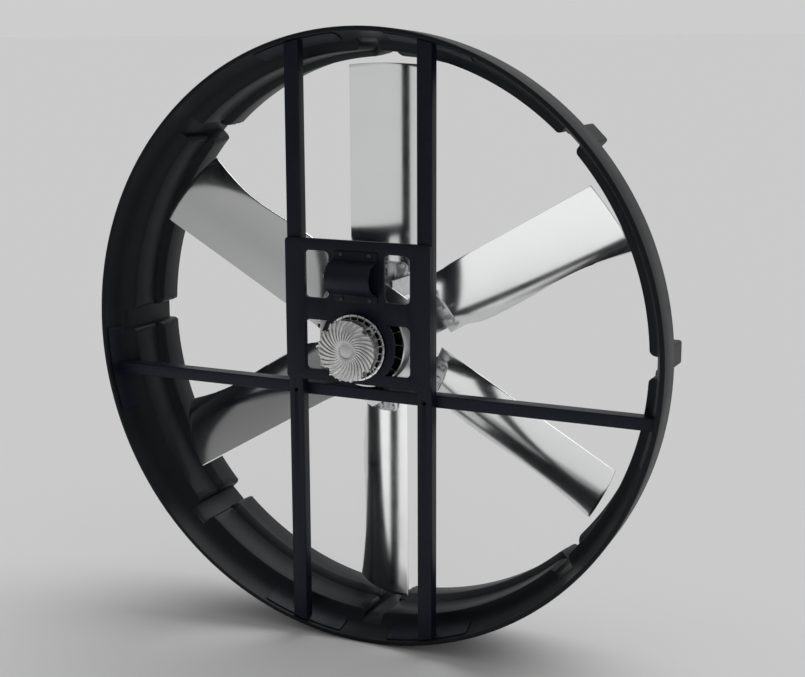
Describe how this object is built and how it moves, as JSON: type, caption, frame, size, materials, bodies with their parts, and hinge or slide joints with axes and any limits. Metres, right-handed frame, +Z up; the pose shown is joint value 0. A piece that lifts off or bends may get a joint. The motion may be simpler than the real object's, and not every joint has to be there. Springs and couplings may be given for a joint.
{
  "type": "wall-mounted axial fan",
  "caption": "Wall-mounted axial fan: moulded bell-mouth ring, tube frame with a windowed motor plate, finned motor and clamped curved sheet blades.",
  "frame": {"origin": "on the fan's axis, in the wall plane: the plane of the ring's wall inserts and of the rear edge of its outer band", "axes": "+Z up, +Y along the fan's axis away from the motor side and through the wall, +X to the right seen from the motor side"},
  "size_m": [1.9998, 0.4288, 1.9998],
  "materials": {
    "ring_plastic": "satin moulded",
    "tube_paint": "satin powder coat",
    "black_steel": "blackened",
    "zinc_steel": "zinc plated",
    "bearing_steel": "ground",
    "electrical_steel": "laminated",
    "brass": "turned",
    "copper_wire": "enamelled",
    "gland_plastic": "moulded",
    "board_laminate": "coated",
    "cast_aluminium": "cast",
    "clamp_aluminium": "satin",
    "blade_aluminium": "bright"
  },
  "bodies": {
    "frame": {"ring_shroud": "ring_plastic", "wall_inserts": "brass", "end_plates": "tube_paint", "end_plate_nuts": "zinc_steel", "left_upright": "tube_paint", "right_upright": "tube_paint", "crossbar": "tube_paint", "crossing_bolts": "black_steel", "crossing_nuts": "zinc_steel", "motor_plate": "tube_paint", "plate_bolts": "zinc_steel", "saddle_bracket": "tube_paint", "saddle_screws": "black_steel", "motor_flange": "cast_aluminium", "motor_mount_bolts": "black_steel", "motor_housing": "cast_aluminium", "finned_cap": "cast_aluminium", "cap_screws": "zinc_steel", "cable_gland": "gland_plastic", "drive_board": "board_laminate", "stator_core": "electrical_steel", "stator_windings": "copper_wire", "bearing_front": "bearing_steel", "bearing_rear": "bearing_steel"},
    "rotor": {"retaining_ring": "black_steel", "shaft": "bearing_steel", "rotor_drum": "zinc_steel", "rotor_magnets": "electrical_steel", "hub": "cast_aluminium", "hub_screws": "zinc_steel", "blade_1": "blade_aluminium", "blade_2": "blade_aluminium", "blade_3": "blade_aluminium", "blade_4": "blade_aluminium", "blade_5": "blade_aluminium", "blade_6": "blade_aluminium", "blade_clamps": "clamp_aluminium", "clamp_bolts": "zinc_steel"}
  },
  "joints": [
    {"name": "rotor_spin", "type": "hinge", "parent": "frame", "child": "rotor", "pos_m": [0, 0, 0], "axis": [0, -1, 0], "continuous": true}
  ]
}
